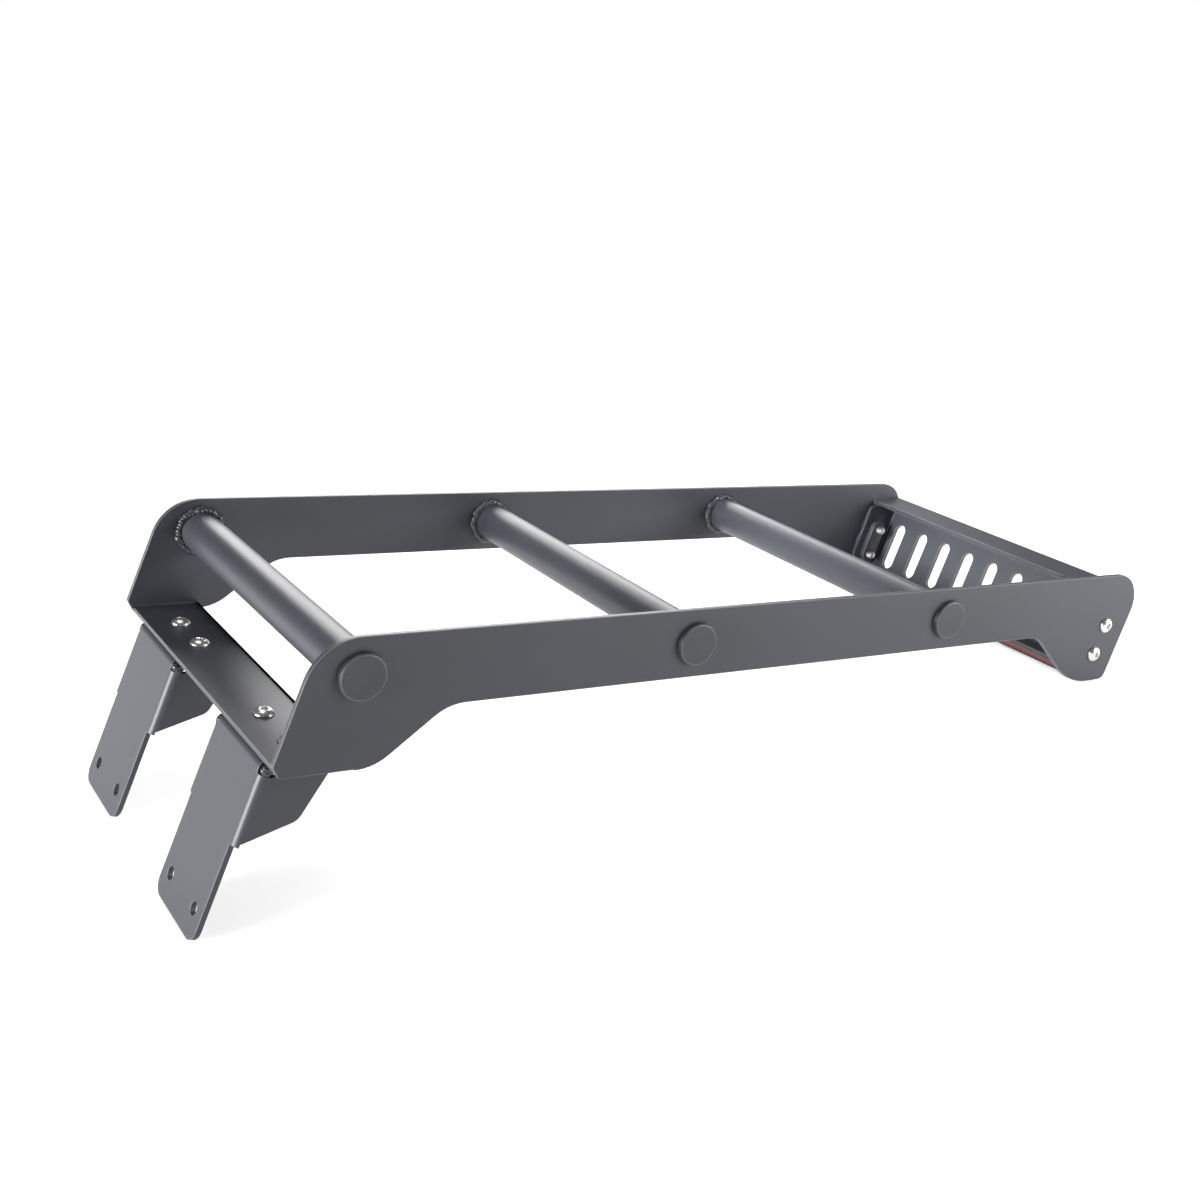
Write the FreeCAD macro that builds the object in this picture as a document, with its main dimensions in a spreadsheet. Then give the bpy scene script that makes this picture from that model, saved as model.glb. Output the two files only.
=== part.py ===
import FreeCAD, Part
import os
import Sketcher

# Vehicle side ladder: a folded sheet frame with three round rungs, two hanging brackets
# under its head and a slotted panel with a padded foot at its other end.
# Pieces are drawn with the rails level, X along the rails from head to foot, Y across
# and Z up with the rails' top edges at zero, then turned to stand on brackets and foot.

os.makedirs("parts", exist_ok=True)
doc = FreeCAD.newDocument("side_ladder")
sheet = doc.addObject("Spreadsheet::Sheet", "Sizes")

# Driving sizes, in millimetres and degrees
SIZES = [
    ("overall_w", 302, "across the rails, outer faces"),
    ("sheet_thk", 4, "frame, bracket and panel sheet"),
    ("bend_r", 2, "inner radius of the bends"),
    ("bend_leg", 1, "straight left beside a bend"),
    ("fold_round", 2, "outer corner between rail and cross plate"),
    ("rake_deg", 16.6, "lean of head edge, brackets and foot panel"),
    ("rail_h", 50, "depth of the rails"),
    ("head_x", 28.4, "head edge at the top of the rail"),
    ("head_drop", 87, "underside of the cross plate below the rail top"),
    ("head_round", 36, "round of the rail at the head"),
    ("cross_x", 9.5, "front edge of the cross plate"),
    ("cross_w", 48, "cross plate along the rails"),
    ("corner_cut", 6, "trimmed lower corner at the head"),
    ("neck_x", 117.5, "end of the neck under the rail"),
    ("neck_deg", 38, "slope of the neck"),
    ("neck_round", 34, "both rounds of the neck"),
    ("foot_back", 129.5, "start of the foot from the rail end"),
    ("foot_deg", 41, "slope down to the foot"),
    ("foot_drop", 97, "bottom of the foot below the rail top"),
    ("foot_in_round", 29, "hollow round above the foot"),
    ("foot_out_round", 64, "full round of the foot"),
    ("toe_round", 8, "round of the toe"),
    ("end_x", 801.5, "foot edge at the top of the rail"),
    ("end_round", 27, "round of the rail at the foot end"),
    ("rung_x", 56, "first rung from the frame zero"),
    ("rung_pitch", 250, "from rung to rung"),
    ("rung_drop", 25, "rung centre below the rail top"),
    ("tube_d", 30, "rung tube"),
    ("tube_wall", 2, "wall of the rung tube"),
    ("cap_d", 32, "head of the rung plugs"),
    ("cap_thk", 4, "height of the plug heads"),
    ("cap_taper", 1, "plug heads narrower at their face, all round"),
    ("plug_gap", 0.3, "plug in its tube, all round"),
    ("plug_len", 14, "plug inside the tube"),
    ("fin_thk", 3, "crossed fins of the plugs"),
    ("bracket_in", 65.5, "bracket centre from the rail's outer face"),
    ("bracket_len", 123.5, "bracket front plate from top to tip"),
    ("tongue_w", 73, "bracket tongue"),
    ("tongue_round", 10, "corners of the tongue"),
    ("wing_gap", 0.5, "step from tongue to gusset bend"),
    ("gusset_low", 55, "gusset along the front plate"),
    ("gusset_mid_x", 35, "gusset corner behind the front plate"),
    ("gusset_mid_z", 32, "gusset corner below the bracket top"),
    ("gusset_round", 10, "gusset corner"),
    ("gusset_top", 1, "gusset edge below the cross plate"),
    ("flange_w", 42, "bracket top flange along the rails"),
    ("corner_relief", 1.5, "corner cut between the bracket bends"),
    ("hole_down", 105.5, "bracket holes below the bracket top"),
    ("hole_pitch", 46, "between the two holes of a bracket"),
    ("hole_d", 9, "bracket holes"),
    ("screw_pitch", 43, "between the two screws of a bracket"),
    ("screw_back", 23, "screws behind the cross plate's front edge"),
    ("screw_hole_d", 8.6, "screw clearance holes"),
    ("panel_inset", 10, "panel's inner face from the rail end"),
    ("panel_gap", 0.2, "panel between the rails, each side"),
    ("lip_drop", 12.5, "panel's upper edge below the rail top"),
    ("lip_w", 38, "reach of the top lip between the rails"),
    ("lip_deg", 22, "top lip from square to the panel"),
    ("sill_w", 20, "reach of the panel's bottom flange"),
    ("ear_w", 34, "panel's end flanges along the rails"),
    ("ear_gap", 1.5, "end flanges below the top lip"),
    ("ear_end", 84, "bottom of the end flanges below the rail top"),
    ("ear_round", 6, "corners of the end flanges"),
    ("slot_count", 9, "slots in the panel"),
    ("slot_pitch", 31.5, "from slot to slot"),
    ("slot_w", 13, "slot width"),
    ("slot_top", 38.5, "upper end of the slots below the rail top"),
    ("slot_end", 83.5, "lower end of the slots below the rail top"),
    ("foot_screw_in", 17.5, "foot screws from the panel's inner face"),
    ("foot_screw_z", 50.5, "upper foot screw along the panel"),
    ("foot_screw_pitch", 27, "between the two foot screws"),
    ("nut_thk", 5, "nut plate"),
    ("nut_w", 16, "nut plate width"),
    ("nut_hole_d", 6.8, "nut plate holes before tapping"),
    ("tape_thk", 2.5, "red bonding layer under the foot"),
    ("pad_thk", 2.5, "dark rubber strip under the foot"),
    ("pad_proud", 1.2, "rubber strip below the foot's edges"),
    ("pad_inset", 1, "strips clear of the rails, each side"),
    ("pad_w", 19, "strips along the rails"),
]

# Places that follow from the sizes
PLACES = [
    ("half_w", "=overall_w / 2"),
    ("in_half", "=half_w - sheet_thk"),
    ("in_w", "=2 * in_half"),
    ("rake_tan", "=tan(rake_deg * 1deg)"),
    ("rake_sin", "=sin(rake_deg * 1deg)"),
    ("rake_cos", "=cos(rake_deg * 1deg)"),
    ("bend_out", "=bend_r + sheet_thk"),
    ("zero", "=0"),
    ("bend_top", "=0 - head_drop + bend_out + bend_leg"),
    ("head_low", "=0 - head_drop"),
    ("cross_top", "=sheet_thk - head_drop"),
    ("head_in_x", "=head_x + bend_top * rake_tan"),
    ("cross_end", "=cross_x + cross_w"),
    ("cross_len", "=cross_end - head_in_x"),
    ("flat_half", "=in_half - bend_r"),
    ("corner_top", "=head_low + 1.5 * corner_cut"),
    ("corner_top_x", "=head_x + corner_top * rake_tan"),
    ("corner_mid_x", "=head_in_x + 0.8 * corner_cut"),
    ("corner_mid_z", "=head_low + 0.15 * corner_cut"),
    ("corner_x", "=head_in_x + 1.4 * corner_cut"),
    ("corner_out_x", "=head_in_x - corner_cut"),
    ("rail_low", "=0 - rail_h"),
    ("foot_x", "=end_x - foot_back"),
    ("panel_x", "=end_x - panel_inset"),
    ("neck_low_x", "=neck_x - (head_drop - rail_h) / tan(neck_deg * 1deg)"),
    ("foot_low", "=0 - foot_drop"),
    ("foot_low_x", "=foot_x + (foot_drop - rail_h) / tan(foot_deg * 1deg)"),
    ("toe_x", "=end_x - foot_drop * rake_tan"),
    ("rung_z", "=0 - rung_drop"),
    ("rung_x2", "=rung_x + rung_pitch"),
    ("rung_x3", "=rung_x + 2 * rung_pitch"),
    ("tube_r", "=tube_d / 2"),
    ("bore_r", "=tube_r - tube_wall"),
    ("cap_r", "=cap_d / 2"),
    ("fin_half", "=fin_thk / 2"),
    ("plug_r", "=sqrt((bore_r - plug_gap) ^ 2 - fin_half ^ 2)"),
    ("cap_face", "=0 - cap_thk"),
    ("cap_face_r", "=cap_r - cap_taper"),
    ("plug_end", "=sheet_thk + plug_len"),
    ("bracket_y", "=half_w - bracket_in"),
    ("tongue_half", "=tongue_w / 2"),
    ("tip_low", "=0 - bracket_len"),
    ("wing_half", "=tongue_half + wing_gap + bend_r + sheet_thk"),
    ("wing_in_half", "=wing_half - sheet_thk"),
    ("flange_end_x", "=flange_w * rake_cos"),
    ("flange_end_z", "=flange_w * rake_sin"),
    ("flange_low_x", "=flange_end_x + sheet_thk * rake_sin"),
    ("flange_low_z", "=flange_end_z - sheet_thk * rake_cos"),
    ("flange_in_z", "=0 - sheet_thk * (1 - rake_sin) / rake_cos"),
    ("wing_top", "=0 - bend_out - corner_relief"),
    ("wing_low", "=0 - gusset_low"),
    ("gusset_mid_low", "=0 - gusset_mid_z"),
    ("gusset_far_x", "=cross_w * rake_cos"),
    ("gusset_far_z", "=gusset_far_x * rake_tan - gusset_top"),
    ("relief_x", "=bend_out + bend_leg"),
    ("screw_seat_x", "=screw_back - flange_w * rake_sin"),
    ("hole_z", "=0 - hole_down"),
    ("hole_half", "=hole_pitch / 2"),
    ("hole_r", "=hole_d / 2"),
    ("screw_x", "=cross_x + screw_back"),
    ("screw_half", "=screw_pitch / 2"),
    ("screw_r", "=screw_hole_d / 2"),
    ("screw_in_y", "=bracket_y - screw_half"),
    ("screw_out_y", "=bracket_y + screw_half"),
    ("panel_half", "=in_half - panel_gap"),
    ("panel_w", "=2 * panel_half"),
    ("lip_sin", "=sin(lip_deg * 1deg)"),
    ("lip_cos", "=cos(lip_deg * 1deg)"),
    ("lip_z", "=(sheet_thk * rake_sin - lip_drop) / rake_cos"),
    ("lip_end_x", "=sheet_thk - lip_w * lip_cos"),
    ("lip_end_z", "=lip_z - lip_w * lip_sin"),
    ("lip_low_x", "=lip_end_x + sheet_thk * lip_sin"),
    ("lip_low_z", "=lip_end_z - sheet_thk * lip_cos"),
    ("lip_in_z", "=lip_z - sheet_thk * (1 + lip_sin) / lip_cos"),
    ("sill_drop", "=foot_drop + pad_proud - tape_thk - pad_thk"),
    ("sill_z", "=(sheet_thk * rake_sin - sill_drop) / rake_cos"),
    ("sill_end_x", "=sheet_thk - sill_w * rake_cos"),
    ("sill_end_z", "=sill_z - sill_w * rake_sin"),
    ("sill_top_x", "=sill_end_x - sheet_thk * rake_sin"),
    ("sill_top_z", "=sill_end_z + sheet_thk * rake_cos"),
    ("sill_in_z", "=(sheet_thk - sill_drop) / rake_cos"),
    ("ear_x", "=0 - ear_w"),
    ("ear_top_z", "=lip_in_z - ear_gap"),
    ("ear_tip_z", "=ear_top_z - ear_w * lip_sin / lip_cos"),
    ("ear_end_z", "=0 - ear_end / rake_cos"),
    ("slot_r", "=slot_w / 2"),
    ("slot_top_z", "=0 - slot_top / rake_cos - slot_r"),
    ("slot_end_z", "=slot_r - slot_end / rake_cos"),
    ("slot_y", "=0 - slot_pitch * (slot_count - 1) / 2"),
    ("slot_left", "=slot_y - slot_r"),
    ("slot_right", "=slot_y + slot_r"),
    ("slot_run", "=slot_pitch * (slot_count - 1)"),
    ("nut_r", "=nut_w / 2"),
    ("nut_hole_r", "=nut_hole_d / 2"),
    ("fscrew_x", "=0 - foot_screw_in"),
    ("fscrew_z1", "=0 - foot_screw_z / rake_cos"),
    ("fscrew_z2", "=fscrew_z1 - foot_screw_pitch"),
    ("nut_left", "=fscrew_x - nut_r"),
    ("nut_right", "=fscrew_x + nut_r"),
    ("fscrew_ax", "=panel_x + fscrew_x * rake_cos + fscrew_z1 * rake_sin"),
    ("fscrew_az", "=fscrew_z1 * rake_cos - fscrew_x * rake_sin"),
    ("fscrew_bx", "=panel_x + fscrew_x * rake_cos + fscrew_z2 * rake_sin"),
    ("fscrew_bz", "=fscrew_z2 * rake_cos - fscrew_x * rake_sin"),
    ("ear_in_half", "=panel_half - sheet_thk"),
    ("pad_low", "=foot_low - pad_proud"),
    ("tape_low", "=pad_low + pad_thk"),
    ("pad_len", "=in_w - 2 * pad_inset"),
    ("pad_right", "=panel_x + sheet_thk * rake_cos + sill_z * rake_sin - bend_leg"),
    ("tip_x", "=cross_x - bracket_len * rake_sin + sheet_thk * rake_cos"),
    ("tip_z", "=0 - head_drop - bracket_len * rake_cos - sheet_thk * rake_sin"),
    ("rest_deg", "=atan((pad_low - tip_z) / (pad_right - tip_x)) / 1deg"),
]

for row, (alias, value, note) in enumerate(SIZES, 1):
    sheet.set("A%d" % row, note)
    sheet.set("B%d" % row, str(value))
    sheet.setAlias("B%d" % row, alias)
for row, (alias, formula) in enumerate(PLACES, len(SIZES) + 2):
    sheet.set("B%d" % row, formula)
    sheet.setAlias("B%d" % row, alias)
doc.recompute()


def size(alias):
    return float(sheet.get(alias))


def signed(alias):
    return -size(alias[1:]) if alias.startswith("-") else size(alias)


def formula(alias):
    return "-Sizes.%s" % alias[1:] if alias.startswith("-") else "Sizes.%s" % alias


def new_body(label):
    body = doc.addObject("PartDesign::Body", label)
    body.Label = label
    return body


def new_sketch(body, role, label, offset=None):
    sketch = body.newObject("Sketcher::SketchObject", label)
    support = [f for f in body.Origin.OriginFeatures if f.Role == role][0]
    sketch.AttachmentSupport = [(support, "")]
    sketch.MapMode = "FlatFace"
    if offset:
        sketch.setExpression("AttachmentOffset.Base.z", formula(offset))
    return sketch


def pin(sketch, geo, pos, across, up):
    for kind, alias in (("DistanceX", across), ("DistanceY", up)):
        n = sketch.addConstraint(Sketcher.Constraint(kind, -1, 1, geo, pos, signed(alias)))
        sketch.setExpression("Constraints[%d]" % n, formula(alias))


def polygon(sketch, corners):
    pts = [FreeCAD.Vector(signed(a), signed(b), 0) for a, b in corners]
    first = sketch.GeometryCount
    for i, p in enumerate(pts):
        sketch.addGeometry(Part.LineSegment(p, pts[(i + 1) % len(pts)]))
    for i in range(len(pts)):
        after = first + (i + 1) % len(pts)
        sketch.addConstraint(Sketcher.Constraint("Coincident", first + i, 2, after, 1))
    for i, (a, b) in enumerate(corners):
        pin(sketch, first + i, 1, a, b)


def circle(sketch, across, up, radius):
    centre = FreeCAD.Vector(signed(across), signed(up), 0)
    geo = sketch.addGeometry(Part.Circle(centre, FreeCAD.Vector(0, 0, 1), size(radius)))
    pin(sketch, geo, 3, across, up)
    n = sketch.addConstraint(Sketcher.Constraint("Radius", geo, size(radius)))
    sketch.setExpression("Constraints[%d]" % n, formula(radius))


def obround(sketch, across, top, low, radius):
    r = size(radius)
    mid, high, deep = signed(across), signed(top), signed(low)
    flat = FreeCAD.Vector(0, 0, 1)
    pi = 3.141592653589793
    upper = Part.Circle(FreeCAD.Vector(mid, high, 0), flat, r)
    lower = Part.Circle(FreeCAD.Vector(mid, deep, 0), flat, r)
    left = Part.LineSegment(FreeCAD.Vector(mid - r, high, 0), FreeCAD.Vector(mid - r, deep, 0))
    right = Part.LineSegment(FreeCAD.Vector(mid + r, deep, 0), FreeCAD.Vector(mid + r, high, 0))
    a = sketch.addGeometry(Part.ArcOfCircle(upper, 0, pi))
    b = sketch.addGeometry(left)
    c = sketch.addGeometry(Part.ArcOfCircle(lower, pi, 2 * pi))
    d = sketch.addGeometry(right)
    for one, two in ((a, b), (b, c), (c, d), (d, a)):
        sketch.addConstraint(Sketcher.Constraint("Tangent", one, 2, two, 1))
    pin(sketch, a, 3, across, top)
    pin(sketch, c, 3, across, low)
    n = sketch.addConstraint(Sketcher.Constraint("Radius", a, r))
    sketch.setExpression("Constraints[%d]" % n, formula(radius))
    sketch.addConstraint(Sketcher.Constraint("Equal", a, c))


def grow(body, sketch, length, back=False):
    pad = body.newObject("PartDesign::Pad", sketch.Name + "_pad")
    pad.Profile = sketch
    pad.setExpression("Length", formula(length))
    pad.Reversed = back
    sketch.Visibility = False
    doc.recompute()
    return pad


def cut(body, sketch, back=False):
    before = body.Tip.Shape.Volume
    pocket = body.newObject("PartDesign::Pocket", sketch.Name + "_cut")
    pocket.Profile = sketch
    pocket.Type = "ThroughAll"
    pocket.Reversed = back
    sketch.Visibility = False
    doc.recompute()
    if pocket.Shape.Volume >= before - 1e-6:
        raise RuntimeError("nothing cut by " + sketch.Name)
    return pocket


def spin(body, sketch, role):
    turn = body.newObject("PartDesign::Revolution", sketch.Name + "_turn")
    turn.Profile = sketch
    turn.ReferenceAxis = ([f for f in body.Origin.OriginFeatures if f.Role == role][0], [""])
    turn.Angle = 360
    sketch.Visibility = False
    doc.recompute()
    return turn


def edges_along(shape, axis, across, up):
    # names of straight edges along an axis through a point of the plane across it
    keep = {"X": ("y", "z"), "Y": ("x", "z"), "Z": ("x", "y")}[axis]
    names = []
    for i, edge in enumerate(shape.Edges, 1):
        ends = [v.Point for v in edge.Vertexes]
        if len(ends) == 2 and all(abs(getattr(p, keep[0]) - across) < 1e-4
                                  and abs(getattr(p, keep[1]) - up) < 1e-4 for p in ends):
            names.append("Edge%d" % i)
    return names


def round_edges(body, label, radius, names):
    if not names:
        raise RuntimeError("no edge for " + label)
    below = body.Tip
    fillet = body.newObject("PartDesign::Fillet", label)
    fillet.Base = (below, names)
    fillet.setExpression("Radius", formula(radius))
    doc.recompute()
    if "Invalid" in fillet.State or fillet.Shape.isNull():
        raise RuntimeError("no round at " + label)
    return fillet


# Folded frame: both rails and the cross plate of the head from one sheet
frame = new_body("folded_frame")
fold = new_sketch(frame, "YZ_Plane", "fold", "head_in_x")
polygon(fold, [("-half_w", "bend_top"), ("-half_w", "head_low"), ("half_w", "head_low"),
               ("half_w", "bend_top"), ("in_half", "bend_top"), ("in_half", "cross_top"),
               ("-in_half", "cross_top"), ("-in_half", "bend_top")])
grow(frame, fold, "cross_len")
shape = frame.Tip.Shape
round_edges(frame, "fold_outer", "fold_round", edges_along(shape, "X", -size("half_w"), size("head_low"))
            + edges_along(shape, "X", size("half_w"), size("head_low")))
shape = frame.Tip.Shape
round_edges(frame, "fold_inner", "bend_r", edges_along(shape, "X", -size("in_half"), size("cross_top"))
            + edges_along(shape, "X", size("in_half"), size("cross_top")))
rail_outline = [("head_x", "zero"), ("head_in_x", "bend_top"), ("cross_end", "bend_top"),
                ("cross_end", "head_low"), ("neck_low_x", "head_low"), ("neck_x", "rail_low"),
                ("foot_x", "rail_low"), ("foot_low_x", "foot_low"), ("toe_x", "foot_low"),
                ("end_x", "zero")]
for label, offset, back in (("near_rail", "half_w", True), ("far_rail", "-half_w", False)):
    rail = new_sketch(frame, "XZ_Plane", label, offset)
    polygon(rail, rail_outline)
    grow(frame, rail, "sheet_thk", back)
for label, radius, across, up in (("head_rounding", "head_round", "head_x", "zero"),
                                  ("neck_lower", "neck_round", "neck_low_x", "head_low"),
                                  ("neck_upper", "neck_round", "neck_x", "rail_low"),
                                  ("foot_hollow", "foot_in_round", "foot_x", "rail_low"),
                                  ("foot_full", "foot_out_round", "foot_low_x", "foot_low"),
                                  ("toe", "toe_round", "toe_x", "foot_low"),
                                  ("end_rounding", "end_round", "end_x", "zero")):
    shape = frame.Tip.Shape
    round_edges(frame, label, radius, edges_along(shape, "Y", size(across), size(up)))
trim = new_sketch(frame, "XZ_Plane", "corner_trim", "half_w")
polygon(trim, [("corner_top_x", "corner_top"), ("corner_out_x", "corner_top"), ("corner_out_x", "head_low"),
               ("corner_x", "head_low"), ("corner_mid_x", "corner_mid_z")])
cut(frame, trim)
front = new_sketch(frame, "XY_Plane", "cross_front")
polygon(front, [("zero", "-flat_half"), ("cross_x", "-flat_half"), ("cross_x", "flat_half"),
                ("zero", "flat_half")])
cut(frame, front)
holes = new_sketch(frame, "XY_Plane", "bracket_screws")
for y in ("screw_in_y", "screw_out_y", "-screw_in_y", "-screw_out_y"):
    circle(holes, "screw_x", y, "screw_r")
cut(frame, holes)
sockets = new_sketch(frame, "XZ_Plane", "rung_sockets", "half_w")
for x in ("rung_x", "rung_x2", "rung_x3"):
    circle(sockets, x, "rung_z", "bore_r")
circle(sockets, "fscrew_ax", "fscrew_az", "screw_r")
circle(sockets, "fscrew_bx", "fscrew_bz", "screw_r")
cut(frame, sockets)

# Rungs: tubes between the rails
rungs = []
for i, x in enumerate(("rung_x", "rung_x2", "rung_x3"), 1):
    rung = new_body("rung_%d" % i)
    section = new_sketch(rung, "XY_Plane", "rung_%d_section" % i)
    polygon(section, [("bore_r", "-in_half"), ("tube_r", "-in_half"), ("tube_r", "in_half"),
                      ("bore_r", "in_half")])
    spin(rung, section, "Y_Axis")
    rungs.append((rung, (size(x), 0, size("rung_z")), ("Z", 0)))

# Plugs: push-in rung ends with a round head on the rail's outer face and crossed fins
for i, x in enumerate(("rung_x", "rung_x2", "rung_x3"), 1):
    for side, turn in (("near", 0), ("far", 180)):
        plug = new_body("rung_%d_plug_%s" % (i, side))
        name = "plug_%d_%s" % (i, side)
        section = new_sketch(plug, "XY_Plane", name)
        polygon(section, [("zero", "cap_face"), ("cap_face_r", "cap_face"), ("cap_r", "zero"),
                          ("zero", "zero")])
        spin(plug, section, "Y_Axis")
        fins = new_sketch(plug, "XZ_Plane", name + "_fins")
        polygon(fins, [("fin_half", "fin_half"), ("fin_half", "plug_r"), ("-fin_half", "plug_r"),
                       ("-fin_half", "fin_half"), ("-plug_r", "fin_half"), ("-plug_r", "-fin_half"),
                       ("-fin_half", "-fin_half"), ("-fin_half", "-plug_r"), ("fin_half", "-plug_r"),
                       ("fin_half", "-fin_half"), ("plug_r", "-fin_half"), ("plug_r", "fin_half")])
        grow(plug, fins, "plug_end", True)
        y = -size("half_w") if side == "near" else size("half_w")
        rungs.append((plug, (size(x), y, size("rung_z")), ("Z", turn)))

# Brackets: folded from sheet, drawn with the front plate upright
brackets = []
for side, sign in (("near", -1), ("far", 1)):
    bracket = new_body("bracket_" + side)
    strip = new_sketch(bracket, "XZ_Plane", "bracket_%s_strip" % side, "tongue_half")
    polygon(strip, [("zero", "zero"), ("flange_end_x", "flange_end_z"), ("flange_low_x", "flange_low_z"),
                    ("sheet_thk", "flange_in_z"), ("sheet_thk", "tip_low"), ("zero", "tip_low")])
    grow(bracket, strip, "tongue_w", True)
    shape = bracket.Tip.Shape
    round_edges(bracket, "bracket_%s_bend" % side, "bend_out", edges_along(shape, "Y", 0, 0))
    shape = bracket.Tip.Shape
    round_edges(bracket, "bracket_%s_bend_in" % side, "bend_r",
                edges_along(shape, "Y", size("sheet_thk"), size("flange_in_z")))
    shape = bracket.Tip.Shape
    tips = [("Edge%d" % n) for n, e in enumerate(shape.Edges, 1)
            if len(e.Vertexes) == 2 and all(abs(v.Z - size("tip_low")) < 1e-4 for v in e.Vertexes)
            and abs(e.Vertexes[0].Y - e.Vertexes[1].Y) < 1e-4]
    round_edges(bracket, "bracket_%s_tongue" % side, "tongue_round", tips)
    for end, offset, back in (("near", "wing_half", True), ("far", "-wing_half", False)):
        name = "bracket_%s_%s" % (side, end)
        sign_y = -1 if end == "near" else 1
        edge = "-" if end == "near" else ""
        web = new_sketch(bracket, "YZ_Plane", name + "_web")
        polygon(web, [(edge + "tongue_half", "wing_low"), (edge + "wing_half", "wing_low"),
                      (edge + "wing_half", "wing_top"), (edge + "tongue_half", "wing_top")])
        grow(bracket, web, "sheet_thk")
        gusset = new_sketch(bracket, "XZ_Plane", name + "_gusset", offset)
        polygon(gusset, [("zero", "wing_low"), ("gusset_mid_x", "gusset_mid_low"),
                         ("gusset_far_x", "gusset_far_z"), ("relief_x", "wing_top"),
                         ("zero", "wing_top")])
        grow(bracket, gusset, "sheet_thk", back)
        shape = bracket.Tip.Shape
        round_edges(bracket, name + "_bend", "bend_out",
                    edges_along(shape, "Z", 0, sign_y * size("wing_half")))
        shape = bracket.Tip.Shape
        round_edges(bracket, name + "_bend_in", "bend_r",
                    edges_along(shape, "Z", size("sheet_thk"), sign_y * size("wing_in_half")))
        shape = bracket.Tip.Shape
        corner = [n for n, e in enumerate(shape.Edges, 1) if len(e.Vertexes) == 2
                  and all(abs(v.X - size("gusset_mid_x")) < 1e-4 and v.Y * sign_y > 0 for v in e.Vertexes)
                  and all(abs(v.Z - size("gusset_mid_low")) < 1e-4 for v in e.Vertexes)]
        round_edges(bracket, name + "_corner", "gusset_round", ["Edge%d" % n for n in corner])
    bolts = new_sketch(bracket, "YZ_Plane", "bracket_%s_holes" % side)
    circle(bolts, "hole_half", "hole_z", "hole_r")
    circle(bolts, "-hole_half", "hole_z", "hole_r")
    cut(bracket, bolts, True)
    seat = new_sketch(bracket, "XY_Plane", "bracket_%s_screws" % side)
    seat.AttachmentOffset = FreeCAD.Placement(FreeCAD.Vector(0, 0, size("flange_w")),
                                              FreeCAD.Rotation(FreeCAD.Vector(0, 1, 0), -size("rake_deg")))
    circle(seat, "screw_seat_x", "screw_half", "screw_r")
    circle(seat, "screw_seat_x", "-screw_half", "screw_r")
    cut(bracket, seat)
    place = (size("cross_x"), sign * size("bracket_y"), -size("head_drop"))
    brackets.append((bracket, place, ("Y", size("rake_deg"))))

# Slotted panel: folded from sheet, drawn with its face upright
panel = new_body("slotted_panel")
strip = new_sketch(panel, "XZ_Plane", "panel_strip", "panel_half")
polygon(strip, [("sheet_thk", "lip_z"), ("sheet_thk", "sill_z"), ("sill_end_x", "sill_end_z"),
                ("sill_top_x", "sill_top_z"), ("zero", "sill_in_z"), ("zero", "lip_in_z"),
                ("lip_low_x", "lip_low_z"), ("lip_end_x", "lip_end_z")])
grow(panel, strip, "panel_w", True)
for label, radius, across, up in (("lip_bend", "bend_out", "sheet_thk", "lip_z"),
                                  ("lip_bend_in", "bend_r", "zero", "lip_in_z"),
                                  ("sill_bend", "bend_out", "sheet_thk", "sill_z"),
                                  ("sill_bend_in", "bend_r", "zero", "sill_in_z")):
    shape = panel.Tip.Shape
    round_edges(panel, label, radius, edges_along(shape, "Y", size(across), size(up)))
for end, offset, back in (("near", "panel_half", True), ("far", "-panel_half", False)):
    ear = new_sketch(panel, "XZ_Plane", "ear_" + end, offset)
    polygon(ear, [("zero", "ear_top_z"), ("ear_x", "ear_tip_z"), ("ear_x", "ear_end_z"),
                  ("zero", "ear_end_z")])
    grow(panel, ear, "sheet_thk", back)
shape = panel.Tip.Shape
round_edges(panel, "ear_corners", "ear_round", edges_along(shape, "Y", size("ear_x"), size("ear_tip_z"))
            + edges_along(shape, "Y", size("ear_x"), size("ear_end_z")))
shape = panel.Tip.Shape
round_edges(panel, "ear_bends", "bend_r", edges_along(shape, "Z", 0, -size("ear_in_half"))
            + edges_along(shape, "Z", 0, size("ear_in_half")))
slot = new_sketch(panel, "YZ_Plane", "slot")
obround(slot, "slot_y", "slot_top_z", "slot_end_z", "slot_r")
first_slot = cut(panel, slot, True)
slots = panel.newObject("PartDesign::LinearPattern", "slots")
slots.Originals = [first_slot]
slots.Direction = ([f for f in panel.Origin.OriginFeatures if f.Role == "Y_Axis"][0], [""])
slots.setExpression("Length", "Sizes.slot_run")
slots.setExpression("Occurrences", "Sizes.slot_count")
panel.Tip = slots
doc.recompute()
fixing = new_sketch(panel, "XZ_Plane", "ear_holes", "panel_half")
circle(fixing, "fscrew_x", "fscrew_z1", "screw_r")
circle(fixing, "fscrew_x", "fscrew_z2", "screw_r")
cut(panel, fixing)
foot = [(panel, (size("panel_x"), 0, 0), ("Y", size("rake_deg")))]

# Nut plates behind the foot screws
for end, offset, back in (("near", "ear_in_half", True), ("far", "-ear_in_half", False)):
    nut = new_body("nut_plate_" + end)
    outline = new_sketch(nut, "XZ_Plane", "nut_%s_outline" % end, offset)
    obround(outline, "fscrew_x", "fscrew_z1", "fscrew_z2", "nut_r")
    circle(outline, "fscrew_x", "fscrew_z1", "nut_hole_r")
    circle(outline, "fscrew_x", "fscrew_z2", "nut_hole_r")
    grow(nut, outline, "nut_thk", back)
    foot.append((nut, (size("panel_x"), 0, 0), ("Y", size("rake_deg"))))

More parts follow.
